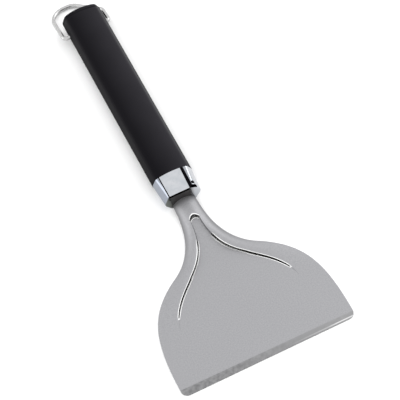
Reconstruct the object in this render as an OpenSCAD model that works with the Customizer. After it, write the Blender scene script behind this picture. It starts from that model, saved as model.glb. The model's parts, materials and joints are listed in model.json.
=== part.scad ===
// Griddle scraper: a pressed steel blade with an arched neck, a chromed collar,
// a black moulded grip and a wire hanging loop that swings in the grip.
// The origin is the middle of the scraping edge on the table, +Y runs towards
// the end of the grip and +Z is up. The part lies as it rests on a table.

/* [Blade] */
// Half of the blade's greatest width
blade_half = 66.8; // [62:0.2:71]
// Thickness of the sheet
sheet = 1.8; // [1.5:0.1:2]
// Thickness that the grinding leaves at the scraping edge
edge = 0.8; // [0.5:0.1:1.2]
// Radius of the two front corners
corner_r = 5; // [4:0.5:7]
// Half width at the middle of the shoulder
shoulder_half = 35.4; // [33:0.2:37]
// Distance of the shoulder's middle from the edge
shoulder_y = 85.7; // [83:0.1:88]
// Half width of the neck at the collar
neck_half = 8.9; // [8.2:0.1:9.2]
// Height of the neck's crown above the table
crown_z = 8.6; // [8.2:0.1:9.4]
// Greatest lift of the flat panel, where it meets the neck
panel_lift = 4; // [3.2:0.1:4.2]
// Length of the tang that runs on inside the grip
tang_len = 98; // [80:1:110]

/* [Slits] */
// Width of the lanced slits
slit_gap = 1.3; // [1:0.1:1.5]
// Distance from the edge to the near ends of the slits
slit_start = 57; // [55:0.5:59]
// Distance from the edge to the far ends of the slits
slit_end = 107; // [104:0.5:109]
// Distance from the edge to the lanced crescent
crescent_y = 121; // [119:0.5:122]

/* [Collar] */
// Distance from the scraping edge to the collar
collar_y = 142; // [140:0.5:144]
// Length of the collar
collar_len = 19; // [18:0.5:21]
// Half width of the collar at its front
collar_half = 14.2; // [13.8:0.1:14.6]
// Height of the collar's flat top above the table, at its front
collar_z = 18; // [17.6:0.1:18.4]
// Distance of the facet's left groove from the middle
facet_left = 9.6; // [9:0.1:9.8]
// Distance of the facet's right groove from the middle, at the front
facet_right = 6.2; // [5.6:0.1:6.6]
// Depth of the grooves round the facet
groove_depth = 0.9; // [0.6:0.1:1.2]

/* [Grip] */
// Length of the grip
grip_len = 170.8; // [150:0.2:190]
// Greatest width of the grip
grip_w = 31.8; // [31:0.1:34]
// Height of the grip
grip_h = 18.8; // [18.4:0.1:20]
// How far the grip's top is domed
grip_dome = 1.9; // [1:0.1:2.2]
// Rounding of the grip's two side corners
grip_round = 5; // [3:0.5:6]
// Rounding of the edges at the grip's end
end_round = 2; // [1:0.5:3]

/* [Loop] */
// Diameter of the loop's wire
wire_d = 3.2; // [2.8:0.1:3.4]
// Distance of the loop's axis from the end of the grip
pivot_back = 16.2; // [15.8:0.1:17]
// Distance from the loop's axis to the middle of its end bar
loop_len = 34.8; // [33:0.1:37]
// Gap between the wire and the widest part of the grip
loop_side_gap = 0.35; // [0.3:0.05:0.8]
// How much further the left leg stands out than the right one
loop_offset = 2.6; // [2:0.1:3.4]
// Radial clearance of the wire in its hole
hole_gap = 0.3; // [0.3:0.05:0.4]

/* [Hidden] */

// clearance between the pieces that are fixed together
fit_gap = 0.15;
arc_fn = 48;

// one coordinate of a cubic curve at t
function cubic(p, t) =
    p[0] * pow(1 - t, 3) + 3 * p[1] * pow(1 - t, 2) * t
    + 3 * p[2] * (1 - t) * t * t + p[3] * pow(t, 3);
// table of a curve's distance from the edge against its half width
function curve_table(xs, ys, steps = 24) =
    [for (i = [0:steps]) [cubic(ys, i / steps), cubic(xs, i / steps)]];
function smooth(a, b, y) =
    let (t = max(0, min(1, (y - a) / (b - a)))) t * t * (3 - 2 * t);
function mix(a, b, t) = a + (b - a) * t;

// The blade's outline is a long bowed side, then a flare into the neck.
side_y = corner_r * 2;
side_pull = 39.8;
shoulder_pull = 30.2;
flare_pull = 5.7;
neck_pull = 43;
shoulder_turn = 34;
side_table = curve_table(
    [blade_half, blade_half, shoulder_half + shoulder_pull * cos(shoulder_turn), shoulder_half],
    [side_y, side_y + side_pull, shoulder_y - shoulder_pull * sin(shoulder_turn), shoulder_y]);
flare_table = curve_table(
    [shoulder_half, shoulder_half - flare_pull * cos(shoulder_turn), neck_half, neck_half],
    [shoulder_y, shoulder_y + flare_pull * sin(shoulder_turn), collar_y - neck_pull, collar_y]);
// what the front corner's arc takes off the half width
function corner_cut(y) =
    y < corner_r ? corner_r - sqrt(corner_r * corner_r - pow(corner_r - y, 2)) : 0;
function outline(y) =
    y < shoulder_y ? lookup(y, side_table) - corner_cut(y) : lookup(y, flare_table);

// Each slit follows a second curve, from a crease in the panel to the crescent.
slit_first = 46.8;
slit_mid_half = shoulder_half - 12.6;
slit_mid_y = shoulder_y - 4.1;
slit_turn = 50;
crescent_half = 3.6;
slit_table = concat(
    curve_table(
        [slit_first, slit_first - 1.7, slit_mid_half + 6 * cos(slit_turn), slit_mid_half],
        [slit_first, slit_first + 17.3, slit_mid_y - 6 * sin(slit_turn), slit_mid_y]),
    [for (i = [1:24]) curve_table(
        [slit_mid_half, slit_mid_half - 6.9 * cos(slit_turn), crescent_half, crescent_half],
        [slit_mid_y, slit_mid_y + 6.9 * sin(slit_turn), crescent_y - 27, crescent_y + 1])[i]]);
function slit_half(y) = y < slit_first ? slit_first : lookup(y, slit_table);

// Heights of the sheet. The flat panel lifts a little towards the neck, the
// ridges rise beside it and run together into the arch.
neck_foot = 2;
arch_power = 2.4;
lift_start = 92;
foot_start = 116;
ridge_shares = [[50, 0], [60, 0.06], [80, 0.22], [100, 0.5], [112, 0.76], [124, 1]];
ridge_table = [for (p = ridge_shares) [p[0], p[1] * (crown_z - sheet)]];
function panel_rise(y) = panel_lift * smooth(lift_start, crescent_y + 2, y);
function foot_rise(y) = neck_foot * smooth(foot_start, collar_y - 3, y);
function arch_rise(s, y) =
    mix(foot_rise(y), lookup(y, ridge_table), 1 - pow(min(1, abs(s)), arch_power));
function ridge_rise(u, y) = lookup(y, ridge_table) * max(0, cos(120 * u - 30));
// rise over a flank, u from the slit to the blade's side
function flank_rise(u, s, y) =
    mix(ridge_rise(u, y), arch_rise(s, y), smooth(94, crescent_y, y));
function tongue_rise(s, y) = y > crescent_y ? arch_rise(s, y) : panel_rise(y);
// thickness of the sheet, ground away towards the scraping edge
bevel_y = corner_r * (1 - cos(75));
function thickness(y) = mix(edge, sheet, min(1, y / bevel_y));

// The panel ends in a rounded tongue below the raised lip of the arch.
lip_gap = 1.1;
tongue_bulge = 2;
function bulge(y) =
    y > crescent_y
        ? (tongue_bulge + lip_gap) * (1 - smooth(crescent_y + 1, crescent_y + 10, y))
        : tongue_bulge * smooth(crescent_y - 11, crescent_y, y);

// The tang narrows behind the collar and ends inside the grip.
tang_half = 6.5;
tang_end = collar_y + collar_len + tang_len;
tang_foot = 4.5;
tang_start = collar_y + collar_len + 1;
function tang_mix(y) = smooth(collar_y + collar_len - 8, tang_start, y);
function sheet_half(y) = y < collar_y ? outline(y) : mix(neck_half, tang_half, tang_mix(y));

panel_cells = 8;
flank_cells = 7;
cells = panel_cells + 2 * flank_cells + 2;
rows_y = concat(
    [for (a = [0:15:90]) corner_r * (1 - cos(a))],
    [11, 20, 30, 39],
    [for (y = [47:3.3:slit_start - 1]) y],
    [for (i = [0:16]) mix(slit_start, slit_end, i / 16)],
    [for (i = [1:5]) mix(slit_end, crescent_y, i / 5)],
    [for (i = [0:6]) mix(crescent_y + 0.2, collar_y, i / 6)],
    [for (i = [1:6]) mix(collar_y, tang_start, i / 6)],
    [tang_end]);
rows = len(rows_y);

// widths of the two strips that the slits stand between
function gap_half(y) = 0.5 * slit_gap * (y > slit_start && y < slit_end ? 1 : 0.5);
function inner_half(y) = sheet_half(y) * slit_share(y) - gap_half(y);
function slit_share(y) = y > crescent_y ? crescent_half / neck_half : slit_half(y) / outline(y);
function outer_start(y) = inner_half(y) + 2 * gap_half(y);

// top point of the sheet in row y, column i counted from the left side
function sheet_point(y, i) =
    let (
        side = i < cells / 2 ? -1 : 1,
        k = abs(i - cells / 2),
        half = sheet_half(y),
        inner = inner_half(y),
        in_panel = k <= panel_cells / 2,
        u = in_panel ? 0 : (k - panel_cells / 2 - 1) / flank_cells,
        x = in_panel ? inner * k / (panel_cells / 2) : mix(outer_start(y), half, u),
        s = x / half,
        rise = in_panel ? tongue_rise(s, y) : flank_rise(u, s, y),
        tang_rise = tang_mix(y) * (tang_foot - neck_foot) * pow(s, 2),
        shift = in_panel ? bulge(y) * (1 - pow(x / inner, 2)) : 0)
    [side * x, y + shift, thickness(y) + rise + tang_rise];

function has_cell(r, i) =
    r >= 0 && r < rows - 1 && i >= 0 && i < cells && !is_slit(r, i) && !is_crescent(r, i);
function is_slit(r, i) =
    (i == flank_cells || i == cells - 1 - flank_cells)
    && rows_y[r] >= slit_start && rows_y[r + 1] <= slit_end;
function is_crescent(r, i) =
    i > flank_cells && i < cells - 1 - flank_cells
    && rows_y[r] <= crescent_y && rows_y[r + 1] > crescent_y;

module blade() {
    across = cells + 1;
    top = [for (y = rows_y, i = [0:cells]) sheet_point(y, i)];
    bottom = [for (y = rows_y, i = [0:cells])
        let (p = sheet_point(y, i)) [p.x, p.y, p.z - thickness(y)]];
    count = len(top);
    faces = [for (r = [0:rows - 2], i = [0:cells - 1]) if (has_cell(r, i))
        let (a = r * across + i, b = a + 1, c = b + across, d = a + across)
        each concat(
            [[a, d, c], [a, c, b], [a + count, b + count, c + count], [a + count, c + count, d + count]],
            has_cell(r - 1, i) ? [] : [[a, b, b + count], [a, b + count, a + count]],
            has_cell(r + 1, i) ? [] : [[c, d, d + count], [c, d + count, c + count]],
            has_cell(r, i - 1) ? [] : [[d, a, a + count], [d, a + count, d + count]],
            has_cell(r, i + 1) ? [] : [[b, c, c + count], [b, c + count, b + count]])];
    color([0.70, 0.70, 0.71]) polyhedron(concat(top, bottom), faces, convexity = 8);
}

// One rounded corner of a section, as [x, z] points.
function unit(v) = v / norm(v);
function corner_centre(a, b, c, r) =
    let (to_a = unit(a - b), to_c = unit(c - b))
    b + unit(to_a + to_c) * r / sin(acos(to_a * to_c) / 2);
function rounded_corner(a, b, c, r, n = 4) =
    let (
        centre = corner_centre(a, b, c, r),
        reach = sqrt(pow(norm(centre - b), 2) - r * r),
        from = unit(b + unit(a - b) * reach - centre),
        to = unit(b + unit(c - b) * reach - centre))
    [for (i = [0:n]) centre + r * unit(mix(from, to, i / n))];
// where a side corner stands, so that its rounding ends at the half width asked
function side_corner(top, bottom, wide, z, r, guess, tries = 6) =
    tries == 0 ? guess : side_corner(
        top, bottom, wide, z, r,
        guess + wide - r - corner_centre(top, [guess, z], bottom, r)[0], tries - 1);

// The section of collar and grip has six sides: a top that may be domed, two
// slopes above and two below its widest place, and a flat bottom. Half widths
// are given for the top, the widest place and the bottom.
waist = 0.46;
top_round = 3.5;
bottom_round = 2.5;
dome_steps = [0.75, 0.5, 0.25, 0, -0.25, -0.5, -0.75];
function section(top, wide, bottom, low, high, dome, r) =
    let (
        z = mix(low, high, waist),
        up = [top, high - dome],
        down = [bottom, low],
        side = [side_corner(up, down, wide, z, r, wide), z],
        crown = [for (t = dome_steps) [top * t, high - dome * t * t]],
        right = concat(
            rounded_corner(crown[0], up, side, top_round),
            rounded_corner(up, side, down, r),
            rounded_corner(side, down, [-bottom, low], bottom_round)))
    concat(
        right,
        [for (i = [len(right) - 1:-1:0]) [-right[i][0], right[i][1]]],
        [for (i = [len(crown) - 1:-1:0]) crown[i]]);

// A closed solid through rings of points that all hold the same count. The
// last ring is closed towards the given tip.
module skin(rings, tip) {
    n = len(rings[0]);
    last = (len(rings) - 1) * n;
    sides = [for (r = [0:len(rings) - 2], i = [0:n - 1])
        let (a = r * n + i, b = r * n + (i + 1) % n)
        each [[a, a + n, b], [b, a + n, b + n]]];
    front = [[for (i = [0:n - 1]) i]];
    back = is_undef(tip)
        ? [[for (i = [n - 1:-1:0]) last + i]]
        : [for (i = [0:n - 1]) [last + (i + 1) % n, last + i, last + n]];
    points = [for (ring = rings) each ring];
    polyhedron(is_undef(tip) ? points : concat(points, [tip]), concat(sides, front, back), convexity = 4);
}

// The grip's section sets the collar's section at the seam, a small step lower.
grip_top = grip_w / 2 - 3.1;
grip_bottom = grip_w / 2 - 6.9;
seam_step = 0.25;

// The collar is almost flat at the front and takes on the dome towards the grip.
collar_low = 0.6;
collar_dome = 0.2;
collar_top = collar_half - 3.6;
collar_bottom = 9.5;
collar_edge = 0.4;
function collar_ring(y, inset) =
    let (t = (y - collar_y) / collar_len)
    [for (p = section(
            mix(collar_top, grip_top - seam_step, t) - inset / 2,
            mix(collar_half, grip_w / 2 - seam_step, t) - inset,
            mix(collar_bottom, grip_bottom, t) - inset / 2,
            mix(collar_low, seam_step, t) + inset,
            mix(collar_z, grip_h - seam_step, t) - inset,
            mix(collar_dome, grip_dome, t),
            grip_round))
        [p[0], y, p[1]]];

module collar_body() {
    skin([
        collar_ring(collar_y, collar_edge),
        collar_ring(collar_y + 0.3 * collar_edge, 0.3 * collar_edge),
        collar_ring(collar_y + collar_edge, 0),
        collar_ring(collar_y + collar_len - fit_gap, 0)]);
}

// The slot that holds the neck, a little larger than the sheet all round.
module neck_slot() {
    steps = 12;
    half = neck_half + fit_gap;
    low = neck_foot - fit_gap;
    high = crown_z + fit_gap;
    arch = [for (i = [-steps:steps]) let (s = i / steps)
        [half * s, mix(low + sheet, high, 1 - pow(abs(s), arch_power))]];
    translate([0, collar_y + collar_len + 1, 0]) rotate([90, 0, 0])
        linear_extrude(height = collar_len + 2)
            polygon(concat(arch, [[half, low], [-half, low]]));
}

// Grooves frame the bare top facet. The right one is the widest and turns
// along the front edge, round a small dimple.
left_groove = 0.6;
front_groove = 1.9;
right_groove = 2.3;
foot_len = 1.4;
foot_reach = 4.6;
foot_turn = 35;
dimple_r = 0.95;
dimple_x = facet_right + 4.3;
dimple_y = collar_y + 3.9;
module facet_grooves() {
    front = collar_y - 1;
    run = collar_len + 2;
    high = groove_depth + 2;
    low = collar_z - groove_depth;
    right = facet_right + right_groove;
    translate([-facet_left - left_groove, front, low - 0.5]) cube([left_groove, run, high]);
    translate([0, front, low - 0.3]) linear_extrude(height = high)
        polygon([[facet_right, 0], [right, 0], [right + 0.2, run], [facet_right + 1.1, run]]);
    translate([right - 0.4, front, low - 0.3]) rotate([0, foot_turn, 0])
        cube([foot_reach, 1 + foot_len, high]);
    translate([dimple_x, dimple_y, low - 1]) rotate([0, foot_turn, 0])
        cylinder(h = high, r = dimple_r, $fn = arc_fn);
    translate([-facet_left - left_groove, front, collar_z - collar_edge - front_groove])
        cube([facet_left + left_groove + facet_right, 1 + groove_depth, front_groove]);
}

module collar() {
    color([0.82, 0.84, 0.87]) difference() {
        collar_body();
        neck_slot();
        facet_grooves();
    }
}

// The grip is one prism with all its edges rounded and a slightly bowed end.
grip_y = collar_y + collar_len;
grip_end = grip_y + grip_len;
front_round = 0.4;
end_bow = 1;
pivot_y = grip_end - pivot_back;
pivot_z = grip_h / 2;
wire_r = wire_d / 2;
function grip_ring(y, inset, bow = 0) =
    [for (p = section(
            grip_top - inset / 2, grip_w / 2 - inset, grip_bottom - inset / 2,
            inset, grip_h - inset, grip_dome, grip_round))
        [p[0], y - bow * pow(2 * p[0] / grip_w, 2), p[1]]];

module grip_body() {
    skin(concat(
        [grip_ring(grip_y, front_round), grip_ring(grip_y + front_round, 0)],
        [for (a = [0:18:90]) grip_ring(
            grip_end - end_round * (1 - sin(a)), end_round * (1 - cos(a)), end_bow)]),
        [0, grip_end, grip_h / 2]);
}

module tang_pocket() {
    half = tang_half + 3 * fit_gap;
    low = tang_foot - 1.5;
    high = crown_z + fit_gap;
    translate([-half, grip_y - 1, low]) cube([2 * half, tang_end + 2 - grip_y, high - low]);
}

module grip() {
    color([0.035, 0.035, 0.04]) difference() {
        grip_body();
        tang_pocket();
        translate([-grip_w, pivot_y, pivot_z]) rotate([0, 90, 0])
            cylinder(h = 2 * grip_w, r = wire_r + hole_gap, $fn = arc_fn);
    }
}

// The loop is drawn flat, as [x, distance from the axis], and then hung from
// the axis until its end bar lies on the table.
drop = asin((pivot_z - wire_r) / loop_len);
right_x = grip_w / 2 + wire_r + loop_side_gap;
left_x = -right_x - loop_offset;
right_run = pivot_back - 1;
bar_right = -1;
end_gap = 1;
loop_path = [
    [end_gap, 0, 0], [right_x, 0, 2.6], [right_x, right_run, 5], [bar_right, loop_len, 9],
    [left_x, loop_len, 13], [left_x, 0, 3], [-end_gap, 0, 0]];

// how far from corner i its bend starts
function bend_cut(i) = loop_path[i][2] * tan(bend_turn(i) / 2);
function corner_at(i) = [loop_path[i][0], loop_path[i][1]];
function direction(i) = unit(corner_at(i + 1) - corner_at(i));
function heading(i) = let (d = direction(i)) atan2(d[1], d[0]);
function bend_turn(i) = let (t = heading(i) - heading(i - 1)) t < 0 ? t + 360 : t;

// one ring of the wire round point p of the flat loop
wire_fn = 16;
swept_r = wire_r * 0.995;
function wire_ring(p, turn) =
    [for (k = [0:wire_fn - 1]) let (a = 360 * k / wire_fn, out = swept_r * sin(a))
        [p[0] + out * sin(turn), p[1] - out * cos(turn), swept_r * cos(a)]];
function bend_rings(i) =
    let (
        r = loop_path[i][2],
        from = heading(i - 1),
        before = direction(i - 1),
        centre = corner_at(i) - before * bend_cut(i) + r * [-before[1], before[0]],
        steps = ceil(bend_turn(i) / 11))
    [for (k = [0:steps]) let (h = from + bend_turn(i) * k / steps)
        wire_ring(centre + r * [sin(h), -cos(h)], h)];

// the straight end of the wire that turns in the grip's hole
module pin(side, reach) {
    translate([side * end_gap, 0, 0]) rotate([0, side * 90, 0])
        cylinder(h = reach - end_gap, r = wire_r, $fn = arc_fn);
}

module hanging_loop() {
    last = len(loop_path) - 1;
    right_reach = right_x - bend_cut(1);
    left_reach = -left_x - bend_cut(last - 1);
    overlap = 3;
    color([0.72, 0.72, 0.72]) translate([0, pivot_y, pivot_z]) rotate([-drop, 0, 0]) {
        pin(1, right_reach);
        pin(-1, left_reach);
        skin(concat(
            [wire_ring([right_reach - overlap, 0], 0)],
            [for (i = [1:last - 1]) each bend_rings(i)],
            [wire_ring([overlap - left_reach, 0], 0)]));
    }
}

blade();
collar();
grip();
hanging_loop();
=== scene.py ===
# Looks for the griddle scraper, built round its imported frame.
import json
import math

import bmesh
import bpy
import numpy as np
from mathutils import Matrix, Vector


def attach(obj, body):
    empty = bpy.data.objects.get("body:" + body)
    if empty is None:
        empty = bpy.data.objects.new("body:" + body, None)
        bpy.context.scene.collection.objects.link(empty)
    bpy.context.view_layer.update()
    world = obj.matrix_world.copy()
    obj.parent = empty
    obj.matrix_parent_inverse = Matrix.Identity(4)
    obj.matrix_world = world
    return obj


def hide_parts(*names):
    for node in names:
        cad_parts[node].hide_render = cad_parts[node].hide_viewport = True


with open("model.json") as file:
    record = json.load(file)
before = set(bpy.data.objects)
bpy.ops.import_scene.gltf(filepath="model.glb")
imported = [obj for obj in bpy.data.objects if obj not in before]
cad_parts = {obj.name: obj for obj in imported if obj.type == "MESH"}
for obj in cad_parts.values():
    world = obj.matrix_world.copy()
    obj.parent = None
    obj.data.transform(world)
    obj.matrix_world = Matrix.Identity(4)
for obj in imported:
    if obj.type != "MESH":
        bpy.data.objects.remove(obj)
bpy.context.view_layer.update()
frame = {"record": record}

MM = 0.001

# Driving sizes in millimetres, as in the part's source
blade_half = 66.8
sheet = 1.8
edge = 0.8
corner_r = 5.0
shoulder_half = 35.4
shoulder_y = 85.7
neck_half = 8.9
crown_z = 8.6
panel_lift = 4.0
tang_len = 98.0
slit_gap = 1.3
slit_start = 57.0
slit_end = 107.0
crescent_y = 122.8  # 1.8 mm further back than in the source, where the photo has it
collar_y = 142.0
collar_len = 19.0
collar_half = 14.2
collar_z = 18.0
facet_left = 9.6
facet_right = 6.2
groove_depth = 0.9
grip_len = 170.8
grip_w = 31.8
grip_h = 18.8
grip_dome = 1.9
grip_round = 5.0
end_round = 2.0
wire_d = 3.2
pivot_back = 16.2
loop_len = 34.8
loop_side_gap = 0.35
loop_offset = 2.6
hole_gap = 0.3
fit_gap = 0.15


# Curves and blends
curve_steps = 200


def cubic(p, t):
    return p[0] * (1 - t) ** 3 + 3 * p[1] * (1 - t) ** 2 * t + 3 * p[2] * (1 - t) * t ** 2 + p[3] * t ** 3


def curve(xs, ys):
    """The y and x values along a curve, as np.interp wants them."""
    t = np.linspace(0, 1, curve_steps)
    return cubic(ys, t), cubic(xs, t)


def smooth(a, b, y):
    t = np.clip((y - a) / (b - a), 0, 1)
    return t * t * (3 - 2 * t)


def mix(a, b, t):
    return a + (b - a) * t


# The blade's outline: a long bowed side, then a flare into the neck
shoulder_turn = math.radians(34)
side_y = corner_r * 2
side_pull = 39.8
shoulder_pull = 30.2
flare_pull = 5.7
neck_pull = 43
side_curve = curve(
    [blade_half, blade_half, shoulder_half + shoulder_pull * math.cos(shoulder_turn), shoulder_half],
    [side_y, side_y + side_pull, shoulder_y - shoulder_pull * math.sin(shoulder_turn), shoulder_y])
flare_curve = curve(
    [shoulder_half, shoulder_half - flare_pull * math.cos(shoulder_turn), neck_half, neck_half],
    [shoulder_y, shoulder_y + flare_pull * math.sin(shoulder_turn), collar_y - neck_pull, collar_y])


def outline(y):
    corner_cut = corner_r - np.sqrt(np.maximum(corner_r ** 2 - np.maximum(corner_r - y, 0) ** 2, 0))
    return np.where(y < shoulder_y, np.interp(y, *side_curve) - corner_cut, np.interp(y, *flare_curve))


# The line of each slit, from a crease in the panel to the crescent
slit_turn = math.radians(50)
slit_first = 46.8
slit_mid_half = shoulder_half - 12.6
slit_mid_y = shoulder_y - 4.1
crescent_half = 3.6
first_lean = 1.7
first_pull = 17.3
front_pull = 6
back_pull = 6.9
crescent_pull = 27
slit_lower = curve(
    [slit_first, slit_first - first_lean, slit_mid_half + front_pull * math.cos(slit_turn), slit_mid_half],
    [slit_first, slit_first + first_pull, slit_mid_y - front_pull * math.sin(slit_turn), slit_mid_y])
slit_upper = curve(
    [slit_mid_half, slit_mid_half - back_pull * math.cos(slit_turn), crescent_half, crescent_half],
    [slit_mid_y, slit_mid_y + back_pull * math.sin(slit_turn), crescent_y - crescent_pull, crescent_y + 1])


def slit_half(y):
    return np.where(y < slit_mid_y, np.interp(y, *slit_lower), np.interp(y, *slit_upper))


# Heights of the pressed sheet
neck_foot = 2.0
arch_power = 2.4
lift_start = 92.0
lift_full = crescent_y + 2
foot_start = 116.0
foot_full = collar_y - 3
ridge_turn = 120
ridge_lead = 30
ridge_end = 94.0
ridge_y = [50, 60, 80, 100, 112, 124]
ridge_z = [share * (crown_z - sheet) for share in (0, 0.06, 0.22, 0.5, 0.76, 1)]
bevel_y = corner_r * (1 - math.cos(math.radians(75)))


def arch_rise(s, y):
    foot = neck_foot * smooth(foot_start, foot_full, y)
    return mix(foot, np.interp(y, ridge_y, ridge_z), 1 - np.minimum(1, np.abs(s)) ** arch_power)


def flank_rise(u, s, y):
    """Rise over a flank, u from the slit to the blade's side."""
    ridge = np.interp(y, ridge_y, ridge_z) * np.maximum(0, np.cos(np.radians(ridge_turn * u - ridge_lead)))
    return mix(ridge, arch_rise(s, y), smooth(ridge_end, crescent_y, y))


def tongue_rise(s, y):
    lift = panel_lift * smooth(lift_start, lift_full, y)
    return np.where(y > crescent_y, arch_rise(s, y), lift)


def thickness(y):
    return mix(edge, sheet, np.minimum(1, y / bevel_y))


# The tongue's rounded end, below the raised lip of the arch
lip_gap = 1.1
lip_len = 10
tongue_bulge = 2.0
tongue_len = 11


def bulge(y):
    lip = (tongue_bulge + lip_gap) * (1 - smooth(crescent_y + 1, crescent_y + lip_len, y))
    return np.where(y > crescent_y, lip, tongue_bulge * smooth(crescent_y - tongue_len, crescent_y, y))


# The tang, which narrows behind the collar and ends inside the grip
tang_half = 6.5
tang_foot = 4.5
tang_taper = 8
tang_start = collar_y + collar_len + 1
tang_end = collar_y + collar_len + tang_len


def tang_mix(y):
    return smooth(collar_y + collar_len - tang_taper, tang_start, y)


def sheet_half(y):
    return np.where(y < collar_y, outline(y), mix(neck_half, tang_half, tang_mix(y)))


# Mesh helpers
edge_angle = 50
edge_segments = 2
weld = 0.03
near = 0.01


def add_piece(name, points, faces, node, sharp=35):
    mesh = bpy.data.meshes.new(name)
    mesh.from_pydata([tuple(p) for p in np.asarray(points, float) * MM], [], faces)
    mesh.validate()
    mesh.shade_smooth()
    mesh.set_sharp_from_angle(angle=math.radians(sharp))
    obj = bpy.data.objects.new(name, mesh)
    bpy.context.scene.collection.objects.link(obj)
    body = next(b for b, nodes in frame["record"]["behaviour"]["bodies"].items() if node in nodes)
    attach(obj, body)
    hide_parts(node)
    return obj


def round_edges(obj, width):
    bevel = obj.modifiers.new("round_edges", "BEVEL")
    bevel.width = width * MM
    bevel.segments = edge_segments
    bevel.limit_method = "ANGLE"
    bevel.angle_limit = math.radians(edge_angle)
    bevel.harden_normals = True


def skin(rings, tip=None):
    """Points and faces of a closed solid through rings of equal length, maybe closed towards a tip."""
    n = len(rings[0])
    points = np.concatenate(rings)
    faces = []
    for r in range(len(rings) - 1):
        for i in range(n):
            a, b = r * n + i, r * n + (i + 1) % n
            faces.append((a, b, b + n, a + n))
    faces.append(tuple(range(n - 1, -1, -1)))
    last = (len(rings) - 1) * n
    if tip is None:
        faces.append(tuple(last + i for i in range(n)))
    else:
        points = np.concatenate([points, [tip]])
        faces += [(last + i, last + (i + 1) % n, last + n) for i in range(n)]
    return points, faces


def circle(r, n):
    return [(r * math.cos(a), r * math.sin(a)) for a in np.linspace(0, 2 * math.pi, n, endpoint=False)]


def prism(plan, low, high):
    """A prism over a plan of [x, y] points."""
    return skin([np.array([[x, y, z] for x, y in plan]) for z in (low, high)])


def block(size):
    x, y, z = size
    return prism([(0, 0), (x, 0), (x, y), (0, y)], 0, z)


def cutter(points, faces, origin=(0, 0, 0), turn=0):
    """A closed mesh to cut with, turned about the Y axis and then moved."""
    c, s = math.cos(math.radians(turn)), math.sin(math.radians(turn))
    spin = np.array([[c, 0, s], [0, 1, 0], [-s, 0, c]])
    mesh = bpy.data.meshes.new("cutter")
    mesh.from_pydata([tuple(p) for p in (np.asarray(points, float) @ spin.T + origin) * MM], [], faces)
    form = bmesh.new()
    form.from_mesh(mesh)
    bmesh.ops.recalc_face_normals(form, faces=form.faces)
    form.to_mesh(mesh)
    form.free()
    obj = bpy.data.objects.new("cutter", mesh)
    bpy.context.scene.collection.objects.link(obj)
    return obj


def cut(obj, cutters):
    """Takes the cutters out of the piece's mesh for good, and joins points that nearly meet."""
    for c in cutters:
        boolean = obj.modifiers.new("cut", "BOOLEAN")
        boolean.object = c
        boolean.solver = "EXACT"
    bpy.context.view_layer.update()
    done = obj.evaluated_get(bpy.context.evaluated_depsgraph_get())
    mesh = bpy.data.meshes.new_from_object(done)
    form = bmesh.new()
    form.from_mesh(mesh)
    bmesh.ops.remove_doubles(form, verts=form.verts, dist=weld * MM)
    form.to_mesh(mesh)
    form.free()
    obj.modifiers.clear()
    obj.data = mesh
    for c in cutters:
        bpy.data.objects.remove(c)


def mark(obj, name, values):
    """Keeps a number for each face, which the finish reads."""
    marks = obj.data.attributes.new(name, "FLOAT", "FACE")
    marks.data.foreach_set("value", np.asarray(values, np.float32))


# Cells of the blade, counted across from its left side
panel, flank = 26, 21
across = panel + 2 * flank + 2
slit_cells = [flank, across - 1 - flank]
rim_cells = [flank - 1, flank + 1, across - 2 - flank, across - flank]
crescent_cells = range(flank + 1, across - 1 - flank)
rim = 0.6
lip_rim = 0.9
lip_step = 0.05
corner_step = 7.5
panel_start, panel_step = 7, 2
crease_start = 47
slit_rows, ridge_rows, neck_rows, collar_rows = 73, 20, 36, 24


def blade_rows():
    """Distances of the blade's rows of points from the scraping edge."""
    corner = corner_r * (1 - np.cos(np.radians(np.arange(0, 91, corner_step))))
    crescent = crescent_y + np.array([-lip_rim, 0, lip_step, lip_step + lip_rim])
    return np.unique(np.round(np.concatenate([
        corner,
        np.arange(panel_start, crease_start, panel_step),
        np.arange(crease_start, slit_start, 1),
        np.linspace(slit_start, slit_end, slit_rows),
        np.linspace(slit_end, crescent_y - 1, ridge_rows),
        crescent,
        np.linspace(crescent_y + 1, collar_y, neck_rows),
        np.linspace(collar_y, tang_start, collar_rows),
        [tang_end]]), 4))


def present_cells(y):
    """The cells that the slits and the crescent leave."""
    start, end = y[:-1], y[1:]
    here = np.ones((len(start), across), bool)
    here[np.ix_((start >= slit_start) & (end <= slit_end), slit_cells)] = False
    here[np.ix_((start <= crescent_y) & (end > crescent_y), crescent_cells)] = False
    return here


# How wide the slits are along their length, and how far their walls lean, all as shares
slit_end_share = 0.4
slit_pinch = 0.5
pinch_from = (0.4, 0.65)
pinch_until = (0.8, 1)
wall_lean = 0.8


def half_gap(y):
    """Half the width of a slit, which swells in the middle and is slimmer towards the neck."""
    along = np.clip((y - slit_start) / (slit_end - slit_start), 0, 1)
    pinch = 1 - slit_pinch * smooth(*pinch_from, along) * (1 - smooth(*pinch_until, along))
    return 0.5 * slit_gap * (slit_end_share + np.sqrt(np.sin(math.pi * along))) * pinch


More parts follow.
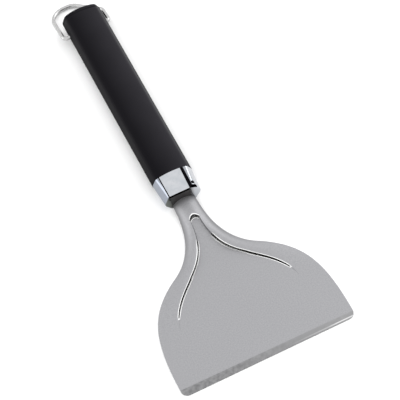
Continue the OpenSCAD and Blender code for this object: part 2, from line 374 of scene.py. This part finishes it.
def blade_points(y):
    """Top and bottom points of the sheet, with narrow rims beside the slits."""
    k = np.arange(across + 1) - across // 2
    side, k = np.where(k < 0, -1, 1), np.abs(k)
    in_panel = k <= panel // 2
    j = k - panel // 2 - 1
    yy = y[:, None]
    half = sheet_half(yy)
    gap = half_gap(yy)
    share = np.where(yy > crescent_y, crescent_half / neck_half, slit_half(yy) / outline(yy))
    inner = half * share - gap
    outer = inner + 2 * gap
    panel_x = np.where(k == panel // 2, inner, (inner - rim) * k / (panel // 2 - 1))
    flank_x = np.where(j == 0, outer, mix(outer + rim, half, (j - 1) / (flank - 1)))
    x = np.where(in_panel, panel_x, flank_x)
    u = (x - outer) / (half - outer)
    s = x / half
    rise = np.where(in_panel, tongue_rise(s, yy), flank_rise(u, s, yy))
    rise = rise + tang_mix(yy) * (tang_foot - neck_foot) * s ** 2
    shift = np.where(in_panel, bulge(yy) * (1 - (x / inner) ** 2), 0)
    thick = thickness(yy) + 0 * x
    lean = wall_lean * gap * np.where(k == panel // 2, 1, np.where(j == 0, -1, 0))
    top = np.stack([side * x, yy + shift, thick + rise], -1).reshape(-1, 3)
    return top, top + np.stack([side * lean, 0 * thick, -thick], -1).reshape(-1, 3)


# Painted highlights on the rims, painted shade in the creases and painted shade bands of the blade, as tones
# from 0 to 1
taper_front, taper_back = 3, 6
taper_first, taper_last = 0.6, 0.4
cap_highlight = 0.8
# a painted highlight line behind the right half of the edge
edge_highlight_low, edge_highlight_high = 0.6, 1.5
edge_highlight_from, edge_highlight_to = 0.55, 0.8
edge_highlight_tone = 0.6
crease_lead = 2
crease_faint = 0.3
crease_darkness = (0.6, 0.15)
neck_shade_across = (0.66, 0.97)
neck_shade_rows = (78, 112)
collar_shade_rows = (6, 0.5)
collar_shade_tone = 0.9


def rim_highlight_tones(y):
    """Painted highlights on the rims beside the slits and the crescent, and a painted highlight line behind
    the right half of the edge.
    """
    start, end = y[:-1], y[1:]
    tones = np.zeros((len(start), across))
    beside = (end >= slit_start) & (start < slit_end)
    taper = np.interp(
        end[beside],
        [slit_start, slit_start + taper_front, slit_end - taper_back, slit_end],
        [taper_first, 1, 1, taper_last])
    tones[np.ix_(beside, rim_cells)] = taper[:, None]
    tones[np.ix_(beside & (end <= slit_start), slit_cells)] = cap_highlight
    lip_highlight = (end > crescent_y - lip_rim + near) & (start < crescent_y + lip_step + lip_rim - near)
    tones[np.ix_(lip_highlight, crescent_cells)] = 1
    edge_highlight = np.interp(np.arange(across), [across * edge_highlight_from, across * edge_highlight_to], [0, edge_highlight_tone])
    tones[(start > edge_highlight_low) & (end < edge_highlight_high)] = edge_highlight
    return tones


def crease_shade_tones(y):
    """Painted shade in the creases in line with the slits, before them and on to the crescent."""
    tones = np.zeros((len(y) - 1, across))
    places = [crease_start, slit_start - crease_lead, slit_end, crescent_y, crescent_y + 0.1]
    for cell, depth in zip(slit_cells, crease_darkness):
        tones[:, cell] = np.interp(y[1:], places, [0, crease_faint, depth, depth, 0])
    return tones


def neck_shade_tones(y):
    """Painted shade bands along the neck's sides and under the collar."""
    middle = (across - 1) / 2
    towards_side = np.abs(np.arange(across) - middle) / middle
    beside = smooth(*neck_shade_across, towards_side)[None, :] * smooth(*neck_shade_rows, y[:-1])[:, None]
    far, close = collar_shade_rows
    under = collar_shade_tone * smooth(collar_y - far, collar_y - close, y[:-1])[:, None]
    return np.maximum(beside, under)


# Blade
def build_blade():
    y = blade_rows()
    top, bottom = blade_points(y)
    count = len(top)
    # each face's painted highlight, painted shade in creases and painted shade band
    rim_highlights, crease_shades, neck_shades = rim_highlight_tones(y), crease_shade_tones(y), neck_shade_tones(y)
    present = np.pad(present_cells(y), 1)
    faces, marks = [], []
    for r in range(len(y) - 1):
        by_opening = slit_start <= y[r] <= crescent_y + 1
        for i in range(across):
            if not present[r + 1, i + 1]:
                continue
            a = r * (across + 1) + i
            b, c, d = a + 1, a + across + 2, a + across + 1
            faces.append((a, b, c, d))
            marks.append((rim_highlights[r, i], crease_shades[r, i], neck_shades[r, i]))
            faces.append((d + count, c + count, b + count, a + count))
            marks.append((0, 0, 0))
            for neighbour, p, q in (
                    (present[r, i + 1], a, b), (present[r + 2, i + 1], c, d),
                    (present[r + 1, i], d, a), (present[r + 1, i + 2], b, c)):
                if not neighbour:
                    faces.append((q, p, p + count, q + count))
                    # the walls of the slits and of the crescent get painted shade
                    marks.append((0, float(by_opening and 0 < i < across - 1), neck_shades[r, i]))
    blade = add_piece("blade", np.concatenate([top, bottom]), faces, "blade", 11)
    for name, values in zip(("rim", "shade_in_hollows", "neck_shade"), np.array(marks).T):
        mark(blade, name, values)
    return blade


# Rounded six-sided sections with a domed top
waist = 0.46
top_round = 3.5
bottom_round = 2.5
corner_steps = 12
dome_steps = np.linspace(0.75, -0.75, 13)
mirror = (-1, 1)


def unit(v):
    return v / np.linalg.norm(v)


def corner_centre(a, b, c, r):
    to_a, to_c = unit(a - b), unit(c - b)
    return b + unit(to_a + to_c) * r / math.sin(math.acos(np.dot(to_a, to_c)) / 2)


def rounded_corner(a, b, c, r):
    centre = corner_centre(a, b, c, r)
    reach = math.sqrt(np.dot(centre - b, centre - b) - r * r)
    start = unit(b + unit(a - b) * reach - centre)
    end = unit(b + unit(c - b) * reach - centre)
    return [centre + r * unit(mix(start, end, i / corner_steps)) for i in range(corner_steps + 1)]


def section(top, wide, bottom, low, high, dome, r):
    up, down = np.array([top, high - dome]), np.array([bottom, low])
    side = np.array([wide, mix(low, high, waist)])
    # the side's corner moves out until its rounding is as wide as asked
    for _ in range(6):
        side[0] += wide - r - corner_centre(up, side, down, r)[0]
    crown = [np.array([top * t, high - dome * t * t]) for t in dome_steps]
    right = (rounded_corner(crown[0], up, side, top_round) + rounded_corner(up, side, down, r)
             + rounded_corner(side, down, down * mirror, bottom_round))
    return np.array(right + [p * mirror for p in right[::-1]] + crown[::-1])


def upright(ring, y):
    """Sets a flat ring of [x, z] points at y, which may differ from point to point."""
    return np.stack([ring[:, 0], y + 0 * ring[:, 0], ring[:, 1]], -1)


# Collar
grip_top = grip_w / 2 - 3.1
grip_bottom = grip_w / 2 - 6.9
seam_step = 0.25
collar_low = 0.6
collar_dome = 0.2
collar_top = collar_half - 3.6
collar_bottom = 9.5
collar_edge = 0.4
collar_sharp = 30
faces_front = 0.9
slot_steps = 24


def collar_ring(y, inset):
    t = (y - collar_y) / collar_len
    return upright(section(
        mix(collar_top, grip_top - seam_step, t) - inset / 2,
        mix(collar_half, grip_w / 2 - seam_step, t) - inset,
        mix(collar_bottom, grip_bottom, t) - inset / 2,
        mix(collar_low, seam_step, t) + inset,
        mix(collar_z, grip_h - seam_step, t) - inset,
        mix(collar_dome, grip_dome, t),
        grip_round), y)


def neck_slot():
    """The arched slot that the neck passes through."""
    half = neck_half + fit_gap
    low, high = neck_foot - fit_gap, crown_z + fit_gap
    s = np.arange(-slot_steps, slot_steps + 1) / slot_steps
    arch = np.stack([half * s, mix(low + sheet, high, 1 - np.abs(s) ** arch_power)], -1)
    ring = np.concatenate([arch, [[half, low], [-half, low]]])
    return cutter(*skin([upright(ring, y) for y in (collar_y - 1, collar_y + collar_len + 1)]))


# Grooves that frame the collar's bare facet, and the foot and dimple of the right one
left_groove, front_groove, right_groove = 0.85, 2.2, 2.8
left_deeper, right_deeper, foot_deeper, dimple_deeper = 0.5, 0.3, 0.2, 1
inner_flare, outer_flare = 0.9, 0.4
foot_len, foot_reach, foot_back = 1.6, 5.2, 1.6
dimple_r, dimple_in = 1.4, 3.7
slope_turn = 30


def facet_grooves():
    front, run, high = collar_y - 1, collar_len + 2, groove_depth + 2
    low, right = collar_z - groove_depth, facet_right + right_groove
    left = -facet_left - left_groove
    band = [(facet_right, 0), (right, 0), (right + outer_flare, run), (facet_right + inner_flare, run)]
    return [
        cutter(*block((left_groove, run, high)), (left, front, low - left_deeper)),
        cutter(*prism(band, 0, high), (0, front, low - right_deeper)),
        cutter(*block((foot_reach, 1 + foot_len, high)),
               (right - foot_back, front, low - foot_deeper), slope_turn),
        cutter(*prism(circle(dimple_r, 24), 0, high),
               (facet_right + dimple_in, collar_y + dimple_in, low - dimple_deeper), slope_turn),
        cutter(*block((facet_right - left, 1 + groove_depth, front_groove)),
               (left, front, collar_z - collar_edge - front_groove))]


def build_collar():
    rounding = [collar_ring(collar_y + collar_edge * (1 - math.sin(a)), collar_edge * (1 - math.cos(a)))
                for a in np.radians(range(0, 91, 15))][::-1]
    points, faces = skin(rounding + [collar_ring(collar_y + collar_len - fit_gap, 0)])
    collar = add_piece("collar", points, faces, "collar")
    grooves = facet_grooves()
    hollows = [[(f.center.copy(), f.normal.copy()) for f in g.data.polygons] for g in grooves]
    cut(collar, [neck_slot()] + grooves)
    # faces inside the grooves, which the finish gives painted shade
    within = [any(all((f.center - p).dot(n) < near * MM for p, n in planes) for planes in hollows)
              for f in collar.data.polygons]
    mark(collar, "shade_in_hollows", within)
    mark(collar, "front", [f.normal.y < -faces_front for f in collar.data.polygons])
    collar.data.set_sharp_from_angle(angle=math.radians(collar_sharp))
    return collar


# Grip
grip_y = collar_y + collar_len
grip_end = grip_y + grip_len
front_round = 0.4
end_bow = 1.0
straight_len = grip_len - 10
crease_rings = ((6, 0), (4.7, 0.02), (4.3, 0.12), (3.9, 0.14), (3.5, 0.03))
pocket_drop = 1.5
pocket_spare = 2
grip_sharp = 40
pivot_y = grip_end - pivot_back
pivot_z = grip_h / 2
wire_r = wire_d / 2


def grip_ring(y, inset, bow=0.0, shrink=1.0):
    ring = section(
        grip_top - inset / 2, grip_w / 2 - inset, grip_bottom - inset / 2,
        inset, grip_h - inset, grip_dome, grip_round)
    ring = (ring - (0, grip_h / 2)) * shrink + (0, grip_h / 2)
    return upright(ring, y - bow * (2 * ring[:, 0] / grip_w) ** 2)


def tang_pocket():
    half = tang_half + 3 * fit_gap
    low, high = tang_foot - pocket_drop, crown_z + fit_gap
    return cutter(*block((2 * half, tang_end + pocket_spare - grip_y, high - low)), (-half, grip_y - 1, low))


def build_grip():
    front = [grip_ring(grip_y + front_round * (1 - math.sin(a)), front_round * (1 - math.cos(a)))
             for a in np.radians([90, 60, 30, 0])]
    body = [grip_ring(grip_y + t * straight_len, 0, end_bow * t * t) for t in (0.25, 0.5, 0.75, 1)]
    crease = [grip_ring(grip_end - back, inset, end_bow) for back, inset in crease_rings]
    rear = [grip_ring(grip_end - end_round * (1 - math.sin(a)), end_round * (1 - math.cos(a)), end_bow)
            for a in np.radians(range(0, 91, 9))]
    cap = [grip_ring(grip_end, end_round, end_bow, shrink) for shrink in (0.8, 0.6, 0.4, 0.2)]
    points, faces = skin(front + body + crease + rear + cap, (0, grip_end, grip_h / 2))
    grip = add_piece("grip", points, faces, "grip", grip_sharp)
    bore = cutter(*prism(circle(wire_r + hole_gap, 48), -grip_w, grip_w), (0, pivot_y, pivot_z), 90)
    cut(grip, [bore, tang_pocket()])
    grip.data.set_sharp_from_angle(angle=math.radians(grip_sharp))
    return grip


# Hanging loop, whose path is a list of corners: x, distance behind the pivot and the bend's radius
drop = math.asin((pivot_z - wire_r) / loop_len)
right_x = grip_w / 2 + wire_r + loop_side_gap
left_x = -right_x - loop_offset
loop_path = [
    (1, 0, 0), (right_x, 0, 2.6), (right_x, pivot_back - 1, 5), (-1, loop_len, 9),
    (left_x, loop_len, 13), (left_x, 0, 3), (-1, 0, 0)]
swept_r = 0.98 * wire_r  # a little thinner, so that the rounder wire stays inside the CAD box
bend_step = 4


def loop_line():
    """Points along the wire's middle, each with the heading of the wire there."""
    corners = np.array([p[:2] for p in loop_path], float)
    heads = np.arctan2(*(corners[1:] - corners[:-1]).T[::-1])
    line = [(corners[0], heads[0])]
    for i in range(1, len(loop_path) - 1):
        turn = (heads[i] - heads[i - 1]) % (2 * math.pi)
        r = loop_path[i][2]
        before = np.array([math.cos(heads[i - 1]), math.sin(heads[i - 1])])
        centre = corners[i] - before * r * math.tan(turn / 2) + r * np.array([-before[1], before[0]])
        steps = max(3, round(math.degrees(turn) / bend_step))
        for k in range(steps + 1):
            h = heads[i - 1] + turn * k / steps
            line.append((centre + r * np.array([math.sin(h), -math.cos(h)]), h))
    line.append((corners[-1], heads[-1]))
    return line


def build_loop():
    around = np.linspace(0, 2 * math.pi, 32, endpoint=False)
    rings = []
    for p, h in loop_line():
        out = swept_r * np.sin(around)
        flat = np.stack([p[0] + out * math.sin(h), p[1] - out * math.cos(h), swept_r * np.cos(around)], -1)
        y, z = flat[:, 1].copy(), flat[:, 2].copy()
        flat[:, 1] = pivot_y + y * math.cos(drop) + z * math.sin(drop)
        flat[:, 2] = pivot_z - y * math.sin(drop) + z * math.cos(drop)
        rings.append(flat)
    points, faces = skin(rings)
    return add_piece("hanging_loop", points, faces, "hanging_loop")


# Materials
class Shader:
    """A material's node tree with short ways to add what these finishes need."""

    def __init__(self, name):
        self.material = bpy.data.materials.new(name)
        self.material.use_nodes = True
        self.nodes = self.material.node_tree.nodes
        self.links = self.material.node_tree.links
        self.bsdf = self.nodes["Principled BSDF"]
        self.place = self.nodes.new("ShaderNodeTexCoord").outputs["Object"]

    def noise(self, scale, detail):
        tex = self.nodes.new("ShaderNodeTexNoise")
        tex.inputs["Scale"].default_value = scale
        tex.inputs["Detail"].default_value = detail
        self.links.new(self.place, tex.inputs["Vector"])
        return tex.outputs["Fac"]

    def map_range(self, value, start, end, low=0, high=1):
        node = self.nodes.new("ShaderNodeMapRange")
        node.inputs["From Min"].default_value = start
        node.inputs["From Max"].default_value = end
        node.inputs["To Min"].default_value = low
        node.inputs["To Max"].default_value = high
        self.links.new(value, node.inputs["Value"])
        return node.outputs["Result"]

    def spread(self, noise, low=0, high=1):
        """Maps the middle part of a noise onto low to high."""
        return self.map_range(noise, 0.3, 0.7, low, high)

    def fade(self, start, end, along=(1, 0, 0)):
        """Rises from 0 to 1 over the piece, between two places in millimetres along a direction."""
        dot = self.nodes.new("ShaderNodeVectorMath")
        dot.operation = "DOT_PRODUCT"
        dot.inputs[1].default_value = along
        self.links.new(self.place, dot.inputs[0])
        return self.map_range(dot.outputs["Value"], start * MM, end * MM)

    def blend(self, factor, a, b):
        node = self.nodes.new("ShaderNodeMix")
        node.data_type = "RGBA"
        for socket, colour in ((node.inputs[6], a), (node.inputs[7], b)):
            if isinstance(colour, tuple):
                socket.default_value = (*colour, 1)
            else:
                self.links.new(colour, socket)
        self.links.new(factor, node.inputs[0])
        return node.outputs[2]

    def bump(self, value, strength, distance):
        node = self.nodes.new("ShaderNodeBump")
        node.inputs["Strength"].default_value = strength
        node.inputs["Distance"].default_value = distance * MM
        self.links.new(value, node.inputs["Height"])
        return node.outputs["Normal"]

    def attribute(self, name):
        node = self.nodes.new("ShaderNodeAttribute")
        node.attribute_name = name
        return node.outputs["Fac"]

    def set(self, **sockets):
        for name, value in sockets.items():
            socket = self.bsdf.inputs[name.replace("_", " ")]
            if hasattr(value, "is_output"):
                self.links.new(value, socket)
            else:
                socket.default_value = value


def steel():
    """Satin ground steel, speckled along the ground edge and lighter there towards the right as a painted
    highlight, with painted highlights on the blade's rims and painted shade in its creases and bands.
    """
    s = Shader("blade_steel")
    grain = s.noise(1100, 4)
    cloud = s.noise(35, 2)
    speckle = s.noise(420, 3)
    painted_light_rightwards = s.fade(-30, 60)
    ground_edge = s.fade(5.1, 4.6, (0.008, 1, 0))
    clean = s.blend(s.spread(grain), (0.315, 0.315, 0.327), (0.372, 0.372, 0.385))
    # the ground band is darker and speckled as ground steel, and lighter towards the right as a painted
    # highlight
    ground_and_painted_light = s.blend(painted_light_rightwards, (0.19, 0.19, 0.195), (0.33, 0.33, 0.335))
    ground_and_painted_light = s.blend(s.spread(speckle), ground_and_painted_light, (0.29, 0.29, 0.295))
    sheet_tone = s.blend(ground_edge, clean, ground_and_painted_light)
    # painted shade bands along the neck's sides and under the collar
    neck_shaded = s.blend(s.attribute("neck_shade"), sheet_tone, (0.232, 0.232, 0.24))
    # painted shade in the creases and on the walls of the slits and the crescent
    crease_shaded = s.blend(s.attribute("shade_in_hollows"), neck_shaded, (0.045, 0.045, 0.042))
    s.set(
        Metallic=1.0,
        # painted highlights on the rims beside the slits and the crescent, and along the edge
        Base_Color=s.blend(s.attribute("rim"), crease_shaded, (0.86, 0.86, 0.86)),
        Roughness=s.spread(cloud, 0.58, 0.60),
        Normal=s.bump(grain, 0.3, 0.06))
    return s.material


def chrome():
    """Bright chrome, with painted darker reflections on the collar's slopes, darker on its front face except
    towards that face's right, and painted shade in the grooves.
    """
    s = Shader("collar_chrome")
    cloud = s.noise(160, 3)
    right_slope = s.fade(7.5, 7.8)
    right_rise = s.fade(8.5, 12.5)
    left_slope = s.fade(-10.2, -10.8)
    front_left = s.fade(-6, -11)
    front_right = s.fade(9.5, 6)
    clean = s.blend(s.spread(cloud), (0.45, 0.47, 0.50), (0.53, 0.54, 0.565))
    # painted darker reflections on the right slope beside its groove and on the left slope
    slope = s.blend(right_rise, (0.2, 0.21, 0.23), clean)
    sides = s.blend(right_slope, clean, slope)
    sides = s.blend(left_slope, sides, (0.28, 0.30, 0.345))
    # the front face is darker, fading to the plain chrome towards its right
    front_face_tone = s.blend(front_left, (0.115, 0.108, 0.106), (0.14, 0.15, 0.14))
    front_face_tone = s.blend(front_right, clean, front_face_tone)
    faced = s.blend(s.attribute("front"), sides, front_face_tone)
    s.set(
        Metallic=1.0,
        # near-black painted shade in the grooves
        Base_Color=s.blend(s.attribute("shade_in_hollows"), faced, (0.004, 0.004, 0.005)),
        Roughness=s.spread(cloud, 0.10, 0.16),
        Normal=s.bump(cloud, 0.08, 0.2))
    return s.material


def soft_black():
    """Soft black moulded plastic, lighter towards its right as painted light, with a painted shade line in
    its crease where that painted light is left out.
    """
    s = Shader("grip_black")
    grain = s.noise(5200, 2)
    cloud = s.noise(45, 3)
    painted_light_rightwards = s.fade(-9, 14)
    crease_y = grip_end - 4.2
    crease_front = s.fade(crease_y - 0.6, crease_y, (0, 1, 0))
    crease_back = s.fade(crease_y + 0.2, crease_y + 0.8, (0, 1, 0))
    # the unlit black, and a lighter black that is painted light on the grip's right side
    unlit_black = s.blend(s.spread(cloud), (0.0008, 0.0006, 0.0016), (0.0014, 0.0011, 0.0022))
    lit_black = s.blend(s.spread(cloud), (0.016, 0.0152, 0.0185), (0.021, 0.02, 0.024))
    side_lit_black = s.blend(painted_light_rightwards, unlit_black, lit_black)
    # the crease keeps the unlit black, a painted shade line
    crease_shaded = s.blend(crease_front, side_lit_black, unlit_black)
    s.set(
        Base_Color=s.blend(crease_back, crease_shaded, side_lit_black),
        Roughness=s.spread(cloud, 0.48, 0.54),
        Normal=s.bump(grain, 0.12, 0.04))
    s.bsdf.inputs["Specular IOR Level"].default_value = 0.095
    s.bsdf.inputs["Specular Tint"].default_value = (0.95, 0.92, 1, 1)
    return s.material


def wire():
    """Bright drawn wire."""
    s = Shader("loop_wire")
    drawn = s.noise(900, 3)
    s.set(
        Metallic=1.0,
        Base_Color=s.blend(s.spread(drawn), (0.40, 0.40, 0.40), (0.50, 0.50, 0.50)),
        Roughness=s.spread(drawn, 0.2, 0.28),
        Normal=s.bump(drawn, 0.15, 0.04))
    return s.material


# Studio
floor_half = 6.0
world_strength = 1.25
light_aim = Vector((0, 0.17, 0))
light_distance = 1.8


def build_floor():
    mesh = bpy.data.meshes.new("floor")
    corners = [(-1, -1, 0), (1, -1, 0), (1, 1, 0), (-1, 1, 0)]
    mesh.from_pydata([[floor_half * v for v in corner] for corner in corners], [], [(0, 1, 2, 3)])
    floor = bpy.data.objects.new("floor", mesh)
    bpy.context.scene.collection.objects.link(floor)
    paint = Shader("floor_white")
    paint.set(Base_Color=(0.95, 0.95, 0.95, 1), Roughness=0.9)
    mesh.materials.append(paint.material)


def add_light(name, towards, size, power):
    """A square soft light that faces the middle of the tool."""
    direction = Vector(towards).normalized()
    data = bpy.data.lights.new(name, "AREA")
    data.shape = "SQUARE"
    data.size = size
    data.energy = power
    light = bpy.data.objects.new(name, data)
    light.location = light_aim + direction * light_distance
    light.rotation_euler = direction.to_track_quat("Z", "Y").to_euler()
    bpy.context.scene.collection.objects.link(light)


def build_world():
    world = bpy.data.worlds.new("studio")
    world.use_nodes = True
    background = world.node_tree.nodes["Background"]
    background.inputs["Color"].default_value = (1, 1, 1, 1)
    background.inputs["Strength"].default_value = world_strength
    bpy.context.scene.world = world


# Camera at the photo's angle, aimed at a point on the table
camera_turn, camera_tilt, camera_roll = (math.radians(v) for v in (-15.59, 58, -11.42))
camera_aim = Vector((11.4, 139.5, 0))
camera_distance = 1462


def build_camera():
    right = Vector((math.cos(camera_turn), math.sin(camera_turn), 0))
    up = Vector((
        -math.sin(camera_turn) * math.sin(camera_tilt),
        math.cos(camera_turn) * math.sin(camera_tilt),
        math.cos(camera_tilt)))
    look = up.cross(right)
    c, s = math.cos(camera_roll), math.sin(camera_roll)
    right, up = right * c + up * s, up * c - right * s
    data = bpy.data.cameras.new("camera")
    data.sensor_width = 36
    data.lens = 180
    data.clip_end = 20
    camera = bpy.data.objects.new("camera", data)
    place = (camera_aim - look * camera_distance) * MM
    turned = Matrix((right, up, -look)).transposed().to_4x4()
    camera.matrix_world = Matrix.Translation(place) @ turned
    bpy.context.scene.collection.objects.link(camera)
    bpy.context.scene.camera = camera


# Each piece with its finish and the rounding of its edges in millimetres
finishes = [
    (build_blade, steel, 0.15), (build_collar, chrome, 0.12), (build_grip, soft_black, 0.3),
    (build_loop, wire, None)]
for build, finish, rounding in finishes:
    piece = build()
    piece.data.materials.clear()
    piece.data.materials.append(finish())
    if rounding:
        round_edges(piece, rounding)

build_floor()
build_world()
add_light("key", towards=(0.9, 0.3, 0.62), size=1.1, power=9)
add_light("left", towards=(-0.8, 0.5, 0.4), size=1.2, power=7)
build_camera()
view = bpy.context.scene.view_settings
view.view_transform = "Standard"
view.look = "None"
